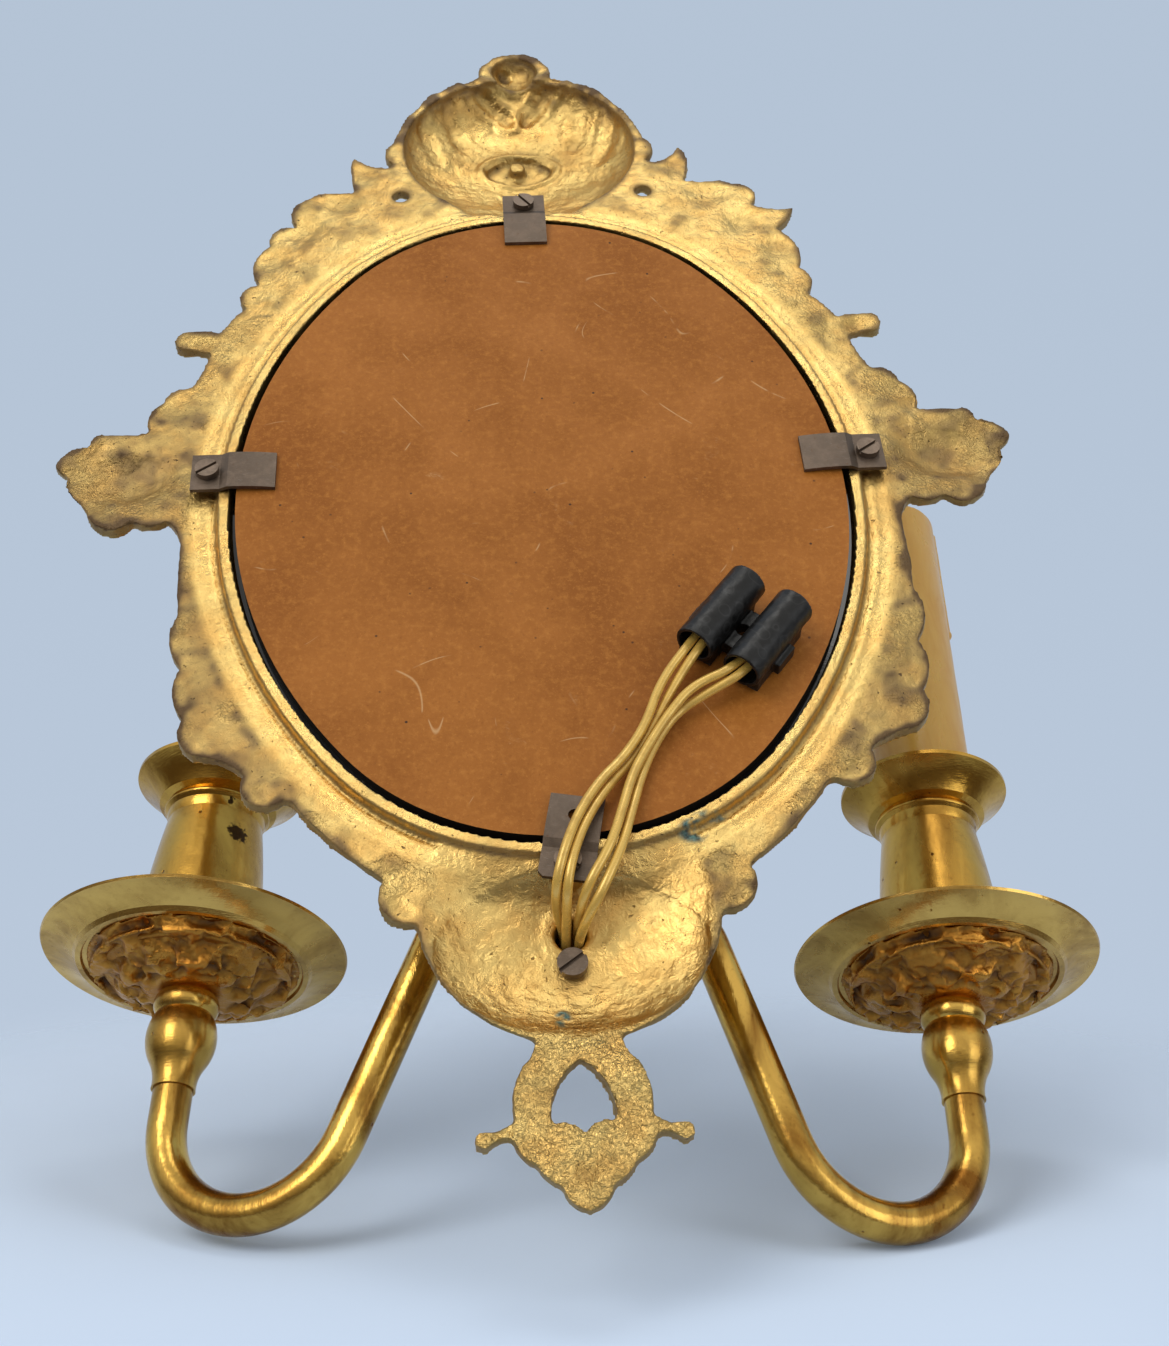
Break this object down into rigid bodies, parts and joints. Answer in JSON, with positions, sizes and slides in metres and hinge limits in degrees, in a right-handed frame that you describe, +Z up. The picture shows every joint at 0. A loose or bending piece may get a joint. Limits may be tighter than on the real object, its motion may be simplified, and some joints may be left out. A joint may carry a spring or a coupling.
{
  "type": "girandole mirror",
  "caption": "Oval wall mirror in a hollow-backed leaf casting with two curved candle arms, drip pans and electric candle sleeves.",
  "frame": {"origin": "centre of the backing board's rear face, flush with the casting's raised ring", "axes": "+Z up the wall, +Y into the wall, +X to the right of somebody facing the glass"},
  "size_m": [0.2501, 0.1071, 0.3696],
  "materials": {
    "cast_brass": "gilt lacquer over a coarse casting, worn",
    "turned_brass": "turned and lacquered, aged to amber",
    "mirror_glass": "silvered at the back",
    "hardboard": "brown pressed fibre board, scuffed",
    "clip_steel": "dull spring steel",
    "screw_steel": "slotted, oxidised",
    "black_plastic": "soft moulded thermoplastic",
    "terminal_brass": "bare machined brass",
    "brown_phenolic": "pressed phenolic",
    "candle_card": "ivory candle tube with a wax run",
    "lead_pvc": "gold-coloured PVC"
  },
  "bodies": {
    "mirror": {"frame_casting": "cast_brass", "mirror_glass": "mirror_glass", "backing_board": "hardboard", "clip_screws": "screw_steel", "hub_screw": "screw_steel", "arm_hub": "turned_brass", "terminal_block": "black_plastic", "terminal_inserts": "terminal_brass", "terminal_screws": "screw_steel", "arm_right": "turned_brass", "ferrule_right": "turned_brass", "neck_collar_right": "turned_brass", "rosette_right": "cast_brass", "drip_pan_right": "turned_brass", "nozzle_right": "turned_brass", "nipple_right": "terminal_brass", "nozzle_nut_right": "terminal_brass", "lampholder_right": "brown_phenolic", "lamp_contact_right": "terminal_brass", "arm_leads_right": "lead_pvc", "arm_left": "turned_brass", "ferrule_left": "turned_brass", "neck_collar_left": "turned_brass", "rosette_left": "cast_brass", "drip_pan_left": "turned_brass", "nozzle_left": "turned_brass", "nipple_left": "terminal_brass", "nozzle_nut_left": "terminal_brass", "lampholder_left": "brown_phenolic", "lamp_contact_left": "terminal_brass", "arm_leads_left": "lead_pvc", "lead_a": "lead_pvc", "lead_b": "lead_pvc", "lead_c": "lead_pvc", "lead_d": "lead_pvc"},
    "clip_top": {"clip_top": "clip_steel"},
    "clip_foot": {"clip_foot": "clip_steel"},
    "clip_right": {"clip_right": "clip_steel"},
    "clip_left": {"clip_left": "clip_steel"},
    "sleeve_right": {"candle_sleeve_right": "candle_card"},
    "sleeve_left": {"candle_sleeve_left": "candle_card"}
  },
  "joints": [
    {"name": "clip_top_turn", "type": "hinge", "parent": "mirror", "child": "clip_top", "pos_m": [0, 0, 0.1089], "axis": [0, 1, 0], "range_deg": [-90, 90]},
    {"name": "clip_foot_turn", "type": "hinge", "parent": "mirror", "child": "clip_foot", "pos_m": [0, 0, -0.1089], "axis": [0, 1, 0], "range_deg": [-70, 80]},
    {"name": "clip_right_turn", "type": "hinge", "parent": "mirror", "child": "clip_right", "pos_m": [0.08171, 0, 0.0072], "axis": [0, 1, 0], "range_deg": [-90, 90]},
    {"name": "clip_left_turn", "type": "hinge", "parent": "mirror", "child": "clip_left", "pos_m": [-0.08171, 0, 0.0072], "axis": [0, 1, 0], "range_deg": [-90, 90]},
    {"name": "sleeve_right_lift", "type": "slide", "parent": "mirror", "child": "sleeve_right", "axis": [-0.0698, 0, 0.9976], "range_m": [0, 0.095]},
    {"name": "sleeve_left_lift", "type": "slide", "parent": "mirror", "child": "sleeve_left", "axis": [-0.0698, 0, 0.9976], "range_m": [0, 0.095]}
  ]
}
